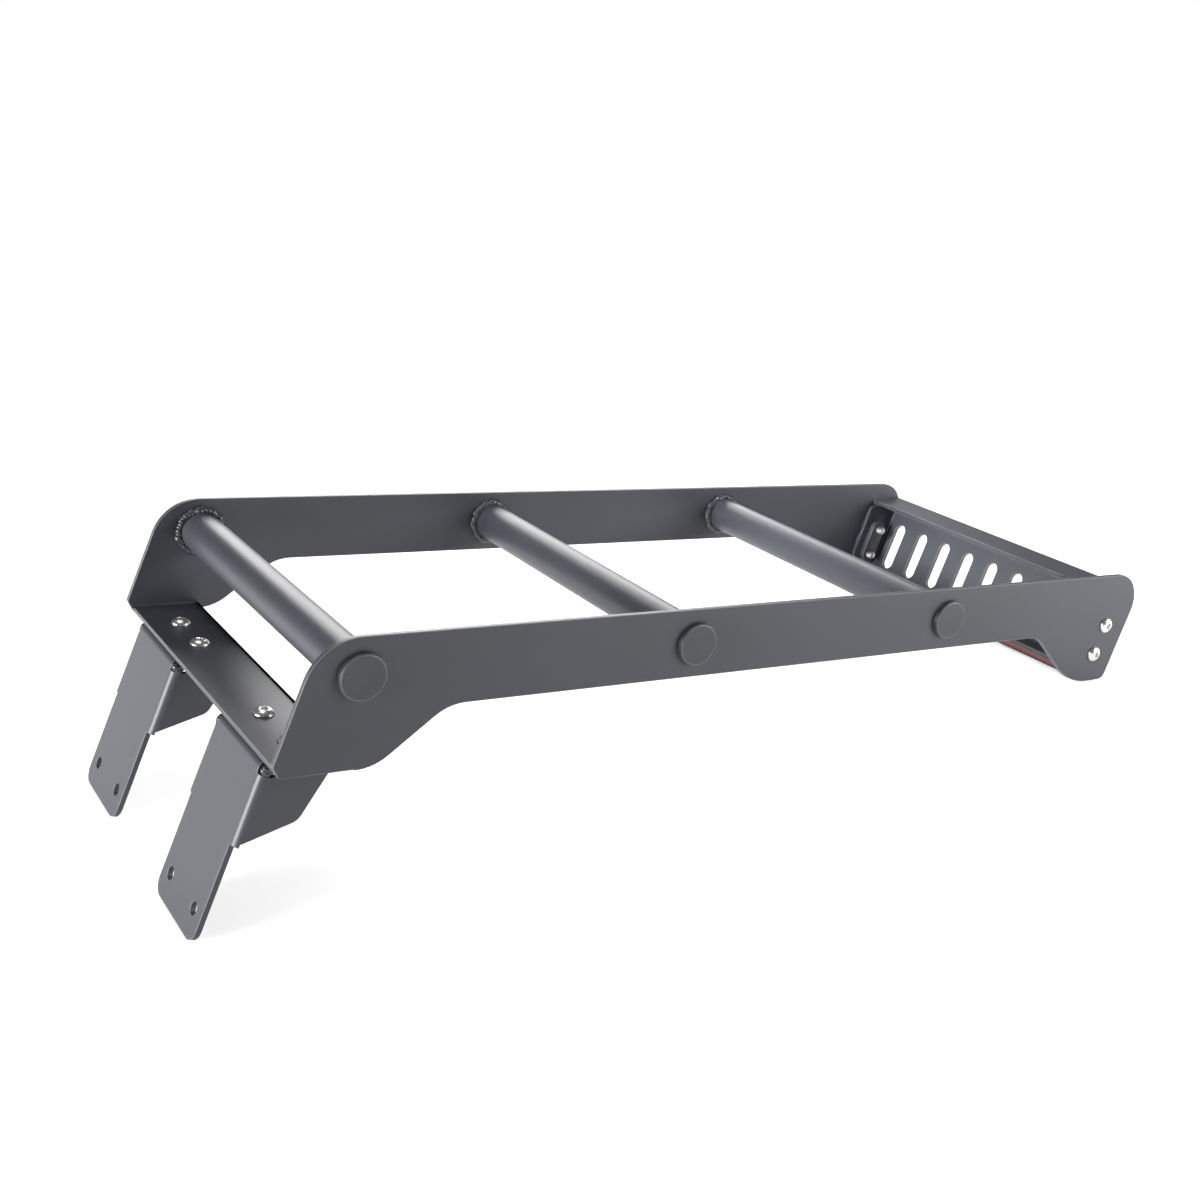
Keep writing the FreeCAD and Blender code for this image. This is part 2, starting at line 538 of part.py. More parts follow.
# Foot strips under the panel's bottom flange
for label, thick, low in (("red_bonding_strip", "tape_thk", "tape_low"),
                          ("rubber_foot_strip", "pad_thk", "pad_low")):
    strip = doc.addObject("Part::Box", label)
    strip.Label = label
    strip.setExpression("Length", "Sizes.pad_w")
    strip.setExpression("Width", "Sizes.pad_len")
    strip.setExpression("Height", "Sizes." + thick)
    foot.append((strip, (size("pad_right") - size("pad_w"), -size("pad_len") / 2, size(low)), ("Y", 0)))

# Stand the ladder on its bracket tips and foot, centred over the origin
pieces = [(frame, (0, 0, 0), ("Y", 0))] + rungs + brackets + foot
stand = FreeCAD.Placement(FreeCAD.Vector(), FreeCAD.Rotation(FreeCAD.Vector(0, 1, 0), size("rest_deg")))
box = FreeCAD.BoundBox()
for obj, place, (axis, angle) in pieces:
    about = FreeCAD.Vector(0, 1, 0) if axis == "Y" else FreeCAD.Vector(0, 0, 1)
    obj.Placement = stand * FreeCAD.Placement(FreeCAD.Vector(*place), FreeCAD.Rotation(about, angle))
doc.recompute()
for obj, place, turn in pieces:
    box.add(obj.Shape.optimalBoundingBox(False, False))
centre = FreeCAD.Vector(-(box.XMin + box.XMax) / 2, -(box.YMin + box.YMax) / 2, -box.ZMin)
for obj, place, turn in pieces:
    obj.Placement = FreeCAD.Placement(centre, FreeCAD.Rotation()) * obj.Placement
doc.recompute()

for obj in doc.Objects:
    if "Invalid" in obj.State or "Error" in obj.State:
        raise RuntimeError("not built: " + obj.Label)
for obj, place, turn in pieces:
    if obj.Shape.isNull() or not obj.Shape.isValid() or len(obj.Shape.Solids) != 1:
        raise RuntimeError("bad solid: " + obj.Label)
    obj.Shape.exportStep("parts/%s.step" % obj.Label)
    b = obj.Shape.optimalBoundingBox(False, False)
    print("%-20s %10.0f mm3  x %7.1f %7.1f  y %7.1f %7.1f  z %6.1f %6.1f" % (
        obj.Label, obj.Shape.Volume, b.XMin, b.XMax, b.YMin, b.YMax, b.ZMin, b.ZMax))
print("rest angle %.3f" % size("rest_deg"))
print("overall %.1f x %.1f x %.1f" % (box.XLength, box.YLength, box.ZLength))
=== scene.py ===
import bpy
import bmesh
import math
from mathutils import Matrix, Vector
from mathutils.bvhtree import BVHTree


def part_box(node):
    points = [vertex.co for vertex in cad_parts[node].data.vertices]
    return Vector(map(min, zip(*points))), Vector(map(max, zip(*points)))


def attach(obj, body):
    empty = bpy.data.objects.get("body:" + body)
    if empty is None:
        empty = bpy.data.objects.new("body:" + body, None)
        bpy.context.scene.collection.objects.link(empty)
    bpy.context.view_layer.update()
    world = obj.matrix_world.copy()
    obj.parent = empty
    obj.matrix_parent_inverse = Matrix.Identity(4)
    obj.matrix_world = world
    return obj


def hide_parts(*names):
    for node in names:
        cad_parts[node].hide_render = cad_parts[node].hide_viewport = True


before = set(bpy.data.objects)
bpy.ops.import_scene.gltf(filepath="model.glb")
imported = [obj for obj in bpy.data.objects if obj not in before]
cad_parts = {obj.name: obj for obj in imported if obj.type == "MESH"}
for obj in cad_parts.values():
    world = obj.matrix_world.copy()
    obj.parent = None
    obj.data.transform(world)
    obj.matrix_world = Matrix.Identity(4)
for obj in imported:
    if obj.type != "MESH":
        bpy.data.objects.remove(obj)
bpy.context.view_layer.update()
scene = bpy.context.scene
mm = 0.001

# ladder drawing axes: x along the rails from the head, y across, z up from the rails' top edges
drawing = {"rungX": 56.0, "rungZ": -25.0, "rakeDeg": 16.6}


def middle(nodeName):
    low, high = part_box(nodeName)
    return (low + high) / 2


def makeDrawingMatrix(d):
    along = (middle("rung_3") - middle("rung_1")).normalized()  # the rungs tie the drawing to the frame
    turn = Matrix.Rotation(math.atan2(-along.z, along.x), 4, "Y")
    shift = middle("rung_1") - turn @ Vector((d["rungX"] * mm, 0, d["rungZ"] * mm))
    return Matrix.Translation(shift) @ turn


ladderToFrame = makeDrawingMatrix(drawing)


def place(x, y, z):
    return ladderToFrame @ Vector((x * mm, y * mm, z * mm))


def aim(x, y, z):
    return (ladderToFrame.to_3x3() @ Vector((x, y, z))).normalized()


# materials

def startMaterial(name):
    mat = bpy.data.materials.new(name)
    mat.use_nodes = True
    nodes = mat.node_tree.nodes
    shader = nodes["Principled BSDF"]
    coords = nodes.new("ShaderNodeTexCoord")
    return mat, nodes, mat.node_tree.links, shader, coords.outputs["Object"]


def noiseNode(nodes, links, vector, scale, detail, rough=0.5):
    noise = nodes.new("ShaderNodeTexNoise")
    noise.inputs["Scale"].default_value = scale
    noise.inputs["Detail"].default_value = detail
    noise.inputs["Roughness"].default_value = rough
    links.new(vector, noise.inputs["Vector"])
    return noise.outputs["Fac"]


def rampNode(nodes, links, value, stops):
    ramp = nodes.new("ShaderNodeValToRGB")
    ramp.color_ramp.elements[0].position = stops[0][0]
    ramp.color_ramp.elements[0].color = (*stops[0][1], 1)
    ramp.color_ramp.elements[1].position = stops[-1][0]
    ramp.color_ramp.elements[1].color = (*stops[-1][1], 1)
    for where, colour in stops[1:-1]:
        stop = ramp.color_ramp.elements.new(where)
        stop.color = (*colour, 1)
    links.new(value, ramp.inputs["Fac"])
    return ramp.outputs["Color"]


def rangeNode(nodes, links, value, low, high, start=0.0, end=1.0):
    span = nodes.new("ShaderNodeMapRange")
    span.inputs["From Min"].default_value = start
    span.inputs["From Max"].default_value = end
    span.inputs["To Min"].default_value = low
    span.inputs["To Max"].default_value = high
    links.new(value, span.inputs["Value"])
    return span.outputs["Result"]


def mathNode(nodes, links, operation, first, second):
    sums = nodes.new("ShaderNodeMath")
    sums.operation = operation
    links.new(first, sums.inputs[0])
    links.new(second, sums.inputs[1])
    return sums.outputs[0]


def bumpNode(nodes, links, height, strength, depth, under=None):
    bump = nodes.new("ShaderNodeBump")
    bump.inputs["Strength"].default_value = strength
    bump.inputs["Distance"].default_value = depth
    links.new(height, bump.inputs["Height"])
    if under:
        links.new(under, bump.inputs["Normal"])
    return bump.outputs["Normal"]


def shade(colour, factor):
    return tuple(c * factor for c in colour)


# painted highlight: faces on the rounded edges are mixed towards a lighter colour that stands in for the shine of
# the edge rounding
def edgeHighlightMix(nodes, links, colour, edgeHighlightColour, amount):
    edgeHighlightMask = nodes.new("ShaderNodeAttribute")
    edgeHighlightMask.attribute_name = "thinEdge"  # one along the rounded sheet edges
    scaled = nodes.new("ShaderNodeMath")
    scaled.operation = "MULTIPLY"
    scaled.inputs[1].default_value = amount
    links.new(edgeHighlightMask.outputs["Fac"], scaled.inputs[0])
    mix = nodes.new("ShaderNodeMix")
    mix.data_type = "RGBA"
    links.new(scaled.outputs[0], mix.inputs["Factor"])
    links.new(colour, mix.inputs["A"])
    mix.inputs["B"].default_value = (*edgeHighlightColour, 1)
    return mix.outputs["Result"]


def powderCoat(name, look):
    mat, nodes, links, shader, where = startMaterial(name)
    broad = noiseNode(nodes, links, where, look["broadScale"], 4)
    tone = rampNode(nodes, links, broad, [(0.25, shade(look["colour"], 0.9)), (0.5, look["colour"]),
                                          (0.75, shade(look["colour"], 1.12))])
    tone = edgeHighlightMix(nodes, links, tone, look["edgeHighlightColour"], look["edgeHighlightAmount"])
    links.new(tone, shader.inputs["Base Color"])
    links.new(rangeNode(nodes, links, broad, *look["rough"]), shader.inputs["Roughness"])
    peel = noiseNode(nodes, links, where, look["peelScale"], 2)
    grain = noiseNode(nodes, links, where, look["grainScale"], 2)
    first = bumpNode(nodes, links, peel, look["peel"], look["peelDepth"])
    links.new(bumpNode(nodes, links, grain, look["grain"], look["grainDepth"], first), shader.inputs["Normal"])
    shader.inputs["Specular IOR Level"].default_value = look["specular"]
    return mat


def mouldedPlastic(name, look):
    mat, nodes, links, shader, where = startMaterial(name)
    broad = noiseNode(nodes, links, where, look["broadScale"], 3)
    tone = rampNode(nodes, links, broad, [(0.3, shade(look["colour"], 0.88)), (0.7, shade(look["colour"], 1.12))])
    tone = edgeHighlightMix(nodes, links, tone, look["edgeHighlightColour"], look["edgeHighlightAmount"])
    links.new(tone, shader.inputs["Base Color"])
    links.new(rangeNode(nodes, links, broad, *look["rough"]), shader.inputs["Roughness"])
    spark = noiseNode(nodes, links, where, look["grainScale"], 3)
    links.new(bumpNode(nodes, links, spark, look["grain"], look["grainDepth"]), shader.inputs["Normal"])
    return mat


def bondingFilm(name, look):
    mat, nodes, links, shader, where = startMaterial(name)
    stretch = nodes.new("ShaderNodeMapping")
    stretch.inputs["Scale"].default_value = (1, look["stretch"], 1)  # creases run along the strip
    links.new(where, stretch.inputs["Vector"])
    crease = noiseNode(nodes, links, stretch.outputs["Vector"], look["creaseScale"], 4)
    tone = rampNode(nodes, links, crease, [(0.3, shade(look["colour"], 0.8)), (0.55, look["colour"]),
                                           (0.8, shade(look["colour"], 1.2))])
    links.new(tone, shader.inputs["Base Color"])
    links.new(rangeNode(nodes, links, crease, *look["rough"]), shader.inputs["Roughness"])
    links.new(bumpNode(nodes, links, crease, look["crease"], look["creaseDepth"]), shader.inputs["Normal"])
    return mat


def footRubber(name, look):
    mat, nodes, links, shader, where = startMaterial(name)
    dust = noiseNode(nodes, links, where, look["dustScale"], 5, 0.65)
    tone = rampNode(nodes, links, dust, [(0.35, look["colour"]), (0.8, look["dust"])])
    links.new(tone, shader.inputs["Base Color"])
    cell = nodes.new("ShaderNodeTexVoronoi")
    cell.inputs["Scale"].default_value = look["cellScale"]
    links.new(where, cell.inputs["Vector"])
    cells = bumpNode(nodes, links, cell.outputs["Distance"], look["cell"], look["cellDepth"])
    links.new(cells, shader.inputs["Normal"])
    links.new(rangeNode(nodes, links, dust, *look["rough"]), shader.inputs["Roughness"])
    return mat


def stainless(name, look):
    mat, nodes, links, shader, where = startMaterial(name)
    brush = noiseNode(nodes, links, where, look["brushScale"], 3)
    tone = rampNode(nodes, links, brush, [(0.3, shade(look["colour"], 0.85)), (0.7, look["colour"])])
    links.new(tone, shader.inputs["Base Color"])
    links.new(rangeNode(nodes, links, brush, *look["rough"]), shader.inputs["Roughness"])
    links.new(bumpNode(nodes, links, brush, look["brush"], look["brushDepth"]), shader.inputs["Normal"])
    shader.inputs["Metallic"].default_value = 1.0
    return mat


# the lighter edge colour on the coat is a painted highlight along the rounded sheet edges
coatLook = {"colour": (0.044, 0.0465, 0.057), "edgeHighlightColour": (0.2, 0.203, 0.21), "edgeHighlightAmount": 0.6,
            "broadScale": 9, "peelScale": 210, "peel": 0.07, "peelDepth": 0.0004,
            "grainScale": 1500, "grain": 0.16, "grainDepth": 0.00015, "rough": (0.38, 0.46), "specular": 0.5}
beadLook = dict(coatLook, colour=(0.045, 0.0465, 0.054), rough=(0.08, 0.14), peelScale=420, peel=0.3,
                edgeHighlightAmount=0.0)  # the beads are glossier than the sheet
# the lighter edge colour on the plug is a painted highlight round the rim of the head
plugLook = {"colour": (0.041, 0.0425, 0.048), "edgeHighlightColour": (0.13, 0.133, 0.14), "edgeHighlightAmount": 0.6,
            "broadScale": 60, "grainScale": 1100, "grain": 0.12, "grainDepth": 0.0002, "rough": (0.36, 0.46)}
filmLook = {"colour": (0.24, 0.035, 0.045), "creaseScale": 130, "stretch": 0.15, "crease": 0.25,
            "creaseDepth": 0.0006, "rough": (0.28, 0.42)}
rubberLook = {"colour": (0.022, 0.022, 0.024), "dust": (0.05, 0.05, 0.052), "dustScale": 45,
              "cellScale": 650, "cell": 0.3, "cellDepth": 0.0003, "rough": (0.72, 0.9)}
steelLook = {"colour": (0.8, 0.79, 0.77), "brushScale": 900, "brush": 0.06, "brushDepth": 0.0001,
             "rough": (0.24, 0.34)}
coatMat = powderCoat("graphitePowderCoat", coatLook)
beadMat = powderCoat("coatedWeldBead", beadLook)
plugMat = mouldedPlastic("plugPlastic", plugLook)
redMat = bondingFilm("redBondingFilm", filmLook)
rubberMat = footRubber("footRubber", rubberLook)
steelMat = stainless("stainlessScrew", steelLook)
print("materials made")


# pieces taken from the solids, with rounded sheet edges

def addPiece(name, mesh, material, nodeName=None):
    obj = bpy.data.objects.new(name, mesh)
    scene.collection.objects.link(obj)
    mesh.materials.clear()
    mesh.materials.append(material)
    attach(obj, "root")
    if nodeName:
        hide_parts(nodeName)
    return obj


def plainMesh(obj, name):
    graph = bpy.context.evaluated_depsgraph_get()
    mesh = bpy.data.meshes.new_from_object(obj.evaluated_get(graph), preserve_all_data_layers=True,
                                           depsgraph=graph)
    mesh.name = name
    bpy.data.objects.remove(obj, do_unlink=True)
    return mesh


def evenNormals(mesh, name):
    holder = bpy.data.objects.new(name + "Holder", mesh)
    scene.collection.objects.link(holder)
    weighted = holder.modifiers.new("evenNormals", "WEIGHTED_NORMAL")
    weighted.mode = "FACE_AREA"
    weighted.weight = 100
    weighted.keep_sharp = True
    return plainMesh(holder, name)


rounding = {"merge": 2e-6, "flatDeg": 0.4, "stray": 0.45}


def roundedMesh(nodeName, name, width, steps, sharpDeg=32):
    bm = bmesh.new()
    bm.from_mesh(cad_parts[nodeName].data)
    bmesh.ops.remove_doubles(bm, verts=bm.verts, dist=rounding["merge"])
    bmesh.ops.dissolve_limit(bm, angle_limit=math.radians(rounding["flatDeg"]), verts=bm.verts, edges=bm.edges,
                             use_dissolve_boundaries=False)
    skin = BVHTree.FromBMesh(bm)
    layer = bm.faces.layers.float.new("thinEdge")
    limit = math.radians(sharpDeg)
    sharp = [e for e in bm.edges if len(e.link_faces) == 2 and e.calc_face_angle() > limit]
    made = bmesh.ops.bevel(bm, geom=sharp, offset=width * mm, offset_type="OFFSET", segments=steps,
                           profile=0.5, affect="EDGES", clamp_overlap=False, loop_slide=True)
    for face in made["faces"]:
        face[layer] = 1.0
    for vert in bm.verts:  # corners that overshoot go back to the sheet
        spot, _, _, gap = skin.find_nearest(vert.co)
        if gap > width * mm * rounding["stray"]:
            vert.co = spot
    for face in bm.faces:
        face.smooth = True
    mesh = bpy.data.meshes.new(name)
    bm.to_mesh(mesh)
    bm.free()
    return evenNormals(mesh, name)


sheetEdges = {"folded_frame": 0.5, "bracket_near": 0.45, "bracket_far": 0.45, "slotted_panel": 0.45,
              "nut_plate_near": 0.4, "nut_plate_far": 0.4}
for nodeName, width in sheetEdges.items():
    mesh = roundedMesh(nodeName, nodeName + "Sheet", width, 3)
    addPiece("coated_" + nodeName, mesh, coatMat, nodeName)
print("sheet pieces rounded")

tubeEdges = {"rungs": ("rung_1", "rung_2", "rung_3"), "width": 0.3}
for nodeName in tubeEdges["rungs"]:
    mesh = roundedMesh(nodeName, nodeName + "Tube", tubeEdges["width"], 1)
    addPiece("coated_" + nodeName, mesh, coatMat, nodeName)

plugEdges = {"width": 0.95, "steps": 4, "sharpDeg": 40}
for n in (1, 2, 3):
    for side in ("near", "far"):
        nodeName = "rung_%d_plug_%s" % (n, side)
        mesh = roundedMesh(nodeName, nodeName + "Head", plugEdges["width"], plugEdges["steps"],
                           plugEdges["sharpDeg"])
        addPiece("moulded_" + nodeName, mesh, plugMat, nodeName)

stripEdges = {"red_bonding_strip": (redMat, "red", 0.35), "rubber_foot_strip": (rubberMat, "rubber", 0.5)}
for nodeName, (material, slot, width) in stripEdges.items():
    mesh = roundedMesh(nodeName, nodeName + "Lay", width, 3)
    addPiece("laid_" + nodeName, mesh, material, nodeName)
print("rungs, plugs and strips made")


# turned fastener shapes, rings from the seat upwards in millimetres

turned = {"smoothDeg": 38, "headAround": 48, "threadAround": 32}


def hexReach(apothem, angle):
    step = math.pi / 3
    return apothem / math.cos((angle + step / 2) % step - step / 2)


def turnedObject(name, rings, around):
    bm = bmesh.new()
    loops = []
    for height, kind, reach in rings:
        if reach == 0:
            loops.append([bm.verts.new((0, 0, height * mm))])
            continue
        loop = []
        for i in range(around):
            angle = 2 * math.pi * i / around
            r = hexReach(reach, angle) if kind == "hex" else reach
            loop.append(bm.verts.new((r * mm * math.cos(angle), r * mm * math.sin(angle), height * mm)))
        loops.append(loop)
    for a, b in zip(loops, loops[1:]):
        for i in range(around):
            j = (i + 1) % around
            if len(a) == 1:
                bm.faces.new((a[0], b[j], b[i]))
            elif len(b) == 1:
                bm.faces.new((a[i], a[j], b[0]))
            else:
                bm.faces.new((a[i], a[j], b[j], b[i]))
    bmesh.ops.recalc_face_normals(bm, faces=bm.faces)
    for face in bm.faces:
        face.smooth = True
    for edge in bm.edges:
        edge.smooth = edge.calc_face_angle(0) < math.radians(turned["smoothDeg"])
    mesh = bpy.data.meshes.new(name)
    bm.to_mesh(mesh)
    bm.free()
    obj = bpy.data.objects.new(name, mesh)
    scene.collection.objects.link(obj)
    return obj


headShape = {"r": 7.0, "h": 3.75, "socket": 2.5, "deep": 2.3}
nutShape = {"flange": 8.6, "half": 6.5, "h": 6.6, "hole": 3.6}
threadShape = {"r": 3.9, "root": 3.4, "pitch": 1.25, "shank": 9.2, "tip": 5.6}


def headRings(s):
    r, h, k = s["r"], s["h"], s["socket"]
    low = h - s["deep"]
    seat = [(0, "round", 0), (0, "round", r * 0.6), (0, "round", r - 0.15), (0.15, "round", r)]
    dome = [(0.55, "round", r), (1.25, "round", r * 0.965), (2.05, "round", r * 0.88), (2.85, "round", r * 0.735),
            (h - 0.3, "round", r * 0.6), (h - 0.02, "round", r * 0.475), (h, "round", r * 0.45)]
    socket = [(h - 0.05, "hex", k + 0.12), (h - 0.25, "hex", k), (low, "hex", k), (low - 0.2, "round", k * 0.8),
              (low - 0.9, "round", 0)]
    return seat + dome + socket


def nutRings(s):
    f, a, h = s["flange"], s["half"], s["h"]
    flange = [(0, "round", s["hole"]), (0, "round", f - 0.2), (0.2, "round", f), (0.9, "round", f),
              (1.5, "round", f * 0.9)]
    flats = [(1.9, "hex", a), (2.1, "hex", a), (h - 0.9, "hex", a), (h - 0.25, "round", a), (h, "round", a * 0.9)]
    bore = [(h, "round", s["hole"] + 0.5), (h - 0.5, "round", s["hole"]), (0, "round", s["hole"])]
    return flange + flats + bore


def threadRings(s, long):
    rings = [(0, "round", 0), (0, "round", s["root"])]
    z = 0.0
    while z < long - 1.3:
        rings += [(z + 0.45, "round", s["r"]), (z + 0.65, "round", s["r"]), (z + 1.1, "round", s["root"])]
        z += s["pitch"]
    return rings + [(long - 0.1, "round", s["root"] * 0.9), (long, "round", s["root"] * 0.8), (long, "round", 0)]


# Geometry Nodes trees

def startTree(name, inputs):
    tree = bpy.data.node_groups.new(name, "GeometryNodeTree")
    face = tree.interface
    face.new_socket("Seats", in_out="INPUT", socket_type="NodeSocketGeometry")
    keys = {}
    for label, kind in inputs:
        keys[label] = face.new_socket(label, in_out="INPUT", socket_type=kind).identifier
    face.new_socket("Result", in_out="OUTPUT", socket_type="NodeSocketGeometry")
    return tree, keys, tree.nodes.new("NodeGroupInput"), tree.nodes.new("NodeGroupOutput")


def endTree(tree, geometry, start, end):
    real = tree.nodes.new("GeometryNodeRealizeInstances")
    paint = tree.nodes.new("GeometryNodeSetMaterial")
    tree.links.new(geometry, real.inputs["Geometry"])
    tree.links.new(real.outputs["Geometry"], paint.inputs["Geometry"])
    tree.links.new(start.outputs["Finish"], paint.inputs["Material"])
    tree.links.new(paint.outputs["Geometry"], end.inputs["Result"])


def facingRotation(tree):
    facing = tree.nodes.new("GeometryNodeInputNamedAttribute")
    facing.data_type = "FLOAT_VECTOR"
    facing.inputs["Name"].default_value = "facing"
    align = tree.nodes.new("FunctionNodeAlignRotationToVector")
    align.axis = "Z"
    tree.links.new(facing.outputs["Attribute"], align.inputs["Vector"])
    return align.outputs["Rotation"]


def fastenerTree():
    inputs = [("Fastener", "NodeSocketObject"), ("Turn Seed", "NodeSocketInt"), ("Finish", "NodeSocketMaterial")]
    tree, keys, start, end = startTree("seatedFasteners", inputs)
    shape = tree.nodes.new("GeometryNodeObjectInfo")
    tree.links.new(start.outputs["Fastener"], shape.inputs["Object"])
    turn = tree.nodes.new("FunctionNodeRandomValue")
    turn.data_type = "FLOAT"
    turn.inputs[3].default_value = 6.283  # a full turn
    tree.links.new(start.outputs["Turn Seed"], turn.inputs["Seed"])
    spin = tree.nodes.new("ShaderNodeCombineXYZ")
    tree.links.new(turn.outputs[1], spin.inputs["Z"])
    toTurn = tree.nodes.new("FunctionNodeEulerToRotation")
    tree.links.new(spin.outputs["Vector"], toTurn.inputs["Euler"])
    both = tree.nodes.new("FunctionNodeRotateRotation")
    both.rotation_space = "LOCAL"
    tree.links.new(facingRotation(tree), both.inputs["Rotation"])
    tree.links.new(toTurn.outputs["Rotation"], both.inputs["Rotate By"])
    put = tree.nodes.new("GeometryNodeInstanceOnPoints")
    tree.links.new(start.outputs["Seats"], put.inputs["Points"])
    tree.links.new(shape.outputs["Geometry"], put.inputs["Instance"])
    tree.links.new(both.outputs["Rotation"], put.inputs["Rotation"])
    endTree(tree, put.outputs["Instances"], start, end)
    return tree, keys


def beadTree():
    inputs = [("Ring Radius", "NodeSocketFloat"), ("Ripple Count", "NodeSocketInt"),
              ("Ripple Size", "NodeSocketFloat"), ("Drift", "NodeSocketFloat"), ("Seed", "NodeSocketInt"),
              ("Finish", "NodeSocketMaterial")]
    tree, keys, start, end = startTree("weldBeads", inputs)
    links = tree.links
    ring = tree.nodes.new("GeometryNodeMeshCircle")
    links.new(start.outputs["Ripple Count"], ring.inputs["Vertices"])
    links.new(start.outputs["Ring Radius"], ring.inputs["Radius"])
    rings = tree.nodes.new("GeometryNodeInstanceOnPoints")
    links.new(start.outputs["Seats"], rings.inputs["Points"])
    links.new(ring.outputs["Mesh"], rings.inputs["Instance"])
    links.new(facingRotation(tree), rings.inputs["Rotation"])
    spread = tree.nodes.new("GeometryNodeRealizeInstances")
    links.new(rings.outputs["Instances"], spread.inputs["Geometry"])
    stray = tree.nodes.new("FunctionNodeRandomValue")
    stray.data_type = "FLOAT_VECTOR"
    stray.inputs[0].default_value = (-1, -1, -1)
    stray.inputs[1].default_value = (1, 1, 1)
    links.new(start.outputs["Seed"], stray.inputs["Seed"])
    drift = tree.nodes.new("ShaderNodeVectorMath")
    drift.operation = "SCALE"
    links.new(stray.outputs[0], drift.inputs[0])
    links.new(start.outputs["Drift"], drift.inputs["Scale"])
    move = tree.nodes.new("GeometryNodeSetPosition")
    links.new(spread.outputs["Geometry"], move.inputs["Geometry"])
    links.new(drift.outputs["Vector"], move.inputs["Offset"])
    ripple = tree.nodes.new("GeometryNodeMeshUVSphere")
    ripple.inputs["Segments"].default_value = 16
    ripple.inputs["Rings"].default_value = 10
    links.new(start.outputs["Ripple Size"], ripple.inputs["Radius"])
    soft = tree.nodes.new("GeometryNodeSetShadeSmooth")
    links.new(ripple.outputs["Mesh"], soft.inputs["Geometry"])
    vary = tree.nodes.new("FunctionNodeRandomValue")
    vary.data_type = "FLOAT"
    vary.inputs[2].default_value = 0.78
    vary.inputs[3].default_value = 1.15
    links.new(start.outputs["Seed"], vary.inputs["Seed"])
    put = tree.nodes.new("GeometryNodeInstanceOnPoints")
    links.new(move.outputs["Geometry"], put.inputs["Points"])
    links.new(soft.outputs["Geometry"], put.inputs["Instance"])
    links.new(vary.outputs[1], put.inputs["Scale"])
    endTree(tree, put.outputs["Instances"], start, end)
    return tree, keys


def runTree(name, made, seats, values):
    tree, keys = made
    mesh = bpy.data.meshes.new(name + "Seats")
    mesh.from_pydata([tuple(p) for p, f in seats], [], [])
    facing = mesh.attributes.new("facing", "FLOAT_VECTOR", "POINT")
    for i, (p, f) in enumerate(seats):
        facing.data[i].vector = f
    holder = bpy.data.objects.new(name + "Holder", mesh)
    scene.collection.objects.link(holder)
    nodes = holder.modifiers.new("seats", "NODES")
    nodes.node_group = tree
    for label, value in values.items():
        nodes[keys[label]] = value
    bpy.context.view_layer.update()
    return plainMesh(holder, name)


# where the fasteners sit, in drawing millimetres
crossScrews = {"x": 32.5, "y": (64.0, 107.0), "top": -83.0, "under": -91.0,
               "turnSeed": 4, "nutSeed": 7, "endSeed": 8}
footScrews = {"x": 791.5, "in": 17.5, "down": 50.5, "pitch": 27.0, "face": 151.0, "nutFace": 137.8,
              "turnSeed": 11, "endSeed": 9}


def footSeats(s):
    rake = math.radians(drawing["rakeDeg"])
    seats = []
    for extra in (0, s["pitch"]):
        along = -s["down"] / math.cos(rake) - extra
        seats.append((s["x"] - s["in"] * math.cos(rake) + along * math.sin(rake),
                      along * math.cos(rake) + s["in"] * math.sin(rake)))
    return seats


headSeats = []
nutSeats = []
endSeats = []
for y in crossScrews["y"]:
    for side in (-1, 1):
        headSeats.append((place(crossScrews["x"], side * y, crossScrews["top"]), aim(0, 0, 1)))
        nutSeats.append((place(crossScrews["x"], side * y, crossScrews["under"]), aim(0, 0, -1)))
railSeats = []
for x, z in footSeats(footScrews):
    for side in (-1, 1):
        railSeats.append((place(x, side * footScrews["face"], z), aim(0, side, 0)))
        endSeats.append((place(x, side * footScrews["nutFace"], z), aim(0, -side, 0)))

screws = fastenerTree()
head = turnedObject("headMaster", headRings(headShape), turned["headAround"])
nut = turnedObject("nutMaster", nutRings(nutShape), turned["headAround"])
shank = turnedObject("shankMaster", threadRings(threadShape, threadShape["shank"]), turned["threadAround"])
tip = turnedObject("tipMaster", threadRings(threadShape, threadShape["tip"]), turned["threadAround"])
fasteners = [("cross_plate_screws", head, headSeats, crossScrews["turnSeed"]),
             ("rail_screws", head, railSeats, footScrews["turnSeed"]),
             ("bracket_nuts", nut, nutSeats, crossScrews["nutSeed"]),
             ("bracket_screw_ends", shank, nutSeats, crossScrews["endSeed"]),
             ("nut_plate_screw_ends", tip, endSeats, footScrews["endSeed"])]
for name, master, seats, seed in fasteners:
    mesh = runTree(name, screws, seats, {"Fastener": master, "Turn Seed": seed, "Finish": steelMat})
    addPiece(name, mesh, steelMat)
for master in (head, nut, shank, tip):
    bpy.data.objects.remove(master, do_unlink=True)
print("fasteners seated")


def layBeads(name, maker, seats, b):
    mesh = runTree(name, maker, seats, {"Ring Radius": b["ring"] * mm, "Ripple Count": b["count"],
                                        "Ripple Size": b["size"] * mm, "Drift": b["drift"] * mm,
                                        "Seed": b["seed"], "Finish": beadMat})
    addPiece(name, mesh, beadMat)


# a bead round each rung end, inside the rails
beads = {"ring": 16.2, "count": 40, "size": 3.4, "seed": 21, "drift": 0.55,
         "inner": 147.0, "off": 0.9, "pitch": 250.0}
beadSeats = []
for n in range(3):
    for side in (-1, 1):
        across = side * (beads["inner"] - beads["off"])
        spot = place(drawing["rungX"] + n * beads["pitch"], across, drawing["rungZ"])
        beadSeats.append((spot, aim(0, -side, 0)))
beadMaker = beadTree()
layBeads("weld_beads", beadMaker, beadSeats, beads)

